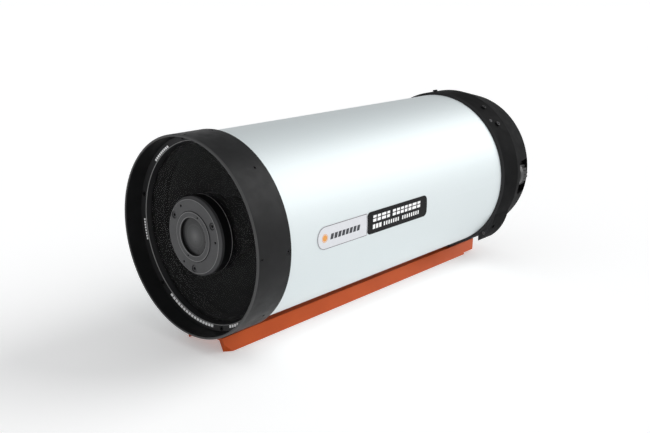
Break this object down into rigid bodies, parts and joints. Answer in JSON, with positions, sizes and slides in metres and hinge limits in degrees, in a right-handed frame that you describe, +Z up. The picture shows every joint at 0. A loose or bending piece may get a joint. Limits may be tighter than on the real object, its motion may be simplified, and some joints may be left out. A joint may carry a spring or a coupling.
{
  "type": "schmidt astrograph telescope",
  "caption": "Closed telescope tube with a glass corrector and central lens group at the front, a sliding focus mirror inside, a ribbed focus knob and a dovetail bar.",
  "frame": {"origin": "middle of the instrument's length and width, on the plane its dovetail bar rests on", "axes": "+Y runs along the optical axis from the open front to the back, +Z is up, +X is the side of the focus knob"},
  "size_m": [0.2356, 0.581, 0.2539],
  "materials": {
    "cell_black": "satin black powder coat on cast aluminium",
    "ring_black": "black anodised, turned",
    "tube_pearl": "pearl white lacquer on rolled aluminium",
    "flange_grey": "dark grey anodised, turned",
    "barrel_black": "black anodised, turned",
    "corrector_glass": "polished, coated",
    "lens_glass": "polished, coated",
    "mirror_glass": "first-surface mirror coating on borosilicate glass",
    "bright_aluminium": "machined",
    "bearing_steel": "ground and polished",
    "screw_steel": "stainless",
    "screw_black": "black oxide",
    "brass": "turned",
    "gasket_black": "matt",
    "cork": "pressed cork",
    "knob_collar": "satin anodised",
    "knob_rubber": "moulded, ribbed",
    "orange_anodised": "orange anodised extrusion",
    "label_pale": "printed film",
    "label_dark": "printed film",
    "vent_mesh": "perforated sheet"
  },
  "bodies": {
    "optical_tube": {"front_cell": "cell_black", "corrector_plate": "corrector_glass", "corrector_front_gasket": "gasket_black", "corrector_rear_gasket": "gasket_black", "corrector_retaining_ring": "ring_black", "corrector_ring_screws": "screw_black", "front_tube_screws": "screw_black", "corrector_centring_screws": "screw_black", "rim_screws": "screw_black", "window": "lens_glass", "lens_gasket": "gasket_black", "lens_lock_nut": "barrel_black", "lens_retainer": "barrel_black", "lens_barrel": "barrel_black", "lens_flange": "flange_grey", "window_retaining_ring": "flange_grey", "lens_spacers": "barrel_black", "lens_element_1": "lens_glass", "lens_element_2": "lens_glass", "lens_element_3": "lens_glass", "lens_element_4": "lens_glass", "collimation_set_screws": "screw_black", "main_tube": "tube_pearl", "label_plate_pale": "label_pale", "label_plate_dark": "label_dark", "rear_cell": "cell_black", "rear_tube_screws": "screw_black", "accessory_screws": "screw_black", "foot_screws": "screw_steel", "rear_cover_screws": "screw_black", "rear_cover": "cell_black", "vent_rings": "ring_black", "vent_screens": "vent_mesh", "guide_tube": "bright_aluminium", "focus_bearings": "bearing_steel", "focus_housing": "bright_aluminium", "focus_housing_screws": "screw_black", "dovetail_bar": "orange_anodised", "front_bar_block": "cell_black", "rear_bar_block": "cell_black", "front_bar_bolts": "screw_steel", "rear_bar_bolts": "screw_steel"},
    "focus_drive": {"focus_screw": "bearing_steel", "focus_knob": "knob_collar", "knob_grip": "knob_rubber", "knob_set_screw": "screw_black"},
    "mirror_slide": {"primary_mirror": "mirror_glass", "mirror_carrier": "bright_aluminium", "mirror_pad": "cork", "mirror_retaining_ring": "ring_black", "slide_bearing_sleeve": "bearing_steel", "slide_bearing_cage": "brass", "slide_bearing_balls": "bearing_steel", "focus_arm": "bright_aluminium", "focus_arm_screws": "screw_steel", "focus_nut": "brass"},
    "collimation_screw_1": {"collimation_screw_1": "screw_black"},
    "collimation_screw_2": {"collimation_screw_2": "screw_black"},
    "collimation_screw_3": {"collimation_screw_3": "screw_black"}
  },
  "joints": [
    {"name": "focus_knob_turn", "type": "hinge", "parent": "optical_tube", "child": "focus_drive", "pos_m": [0.0885, 0.272, 0.13], "axis": [0, 1, 0], "range_deg": [-1921, 1921]},
    {"name": "mirror_focus", "type": "slide", "parent": "optical_tube", "child": "mirror_slide", "axis": [0, 1, 0], "range_m": [-0.004, 0.004]},
    {"name": "collimation_screw_1_turn", "type": "hinge", "parent": "optical_tube", "child": "collimation_screw_1", "pos_m": [-0.03274, -0.2725, 0.15517], "axis": [0, 1, 0], "range_deg": [-360, 360]},
    {"name": "collimation_screw_2_turn", "type": "hinge", "parent": "optical_tube", "child": "collimation_screw_2", "pos_m": [0.03341, -0.2725, 0.15402], "axis": [0, 1, 0], "range_deg": [-360, 360]},
    {"name": "collimation_screw_3_turn", "type": "hinge", "parent": "optical_tube", "child": "collimation_screw_3", "pos_m": [-0.00067, -0.2725, 0.09731], "axis": [0, 1, 0], "range_deg": [-360, 360]}
  ],
  "couplings": [
    {"joint": "focus_knob_turn", "follows": "mirror_focus", "rad_per_m": 8377.6}
  ]
}
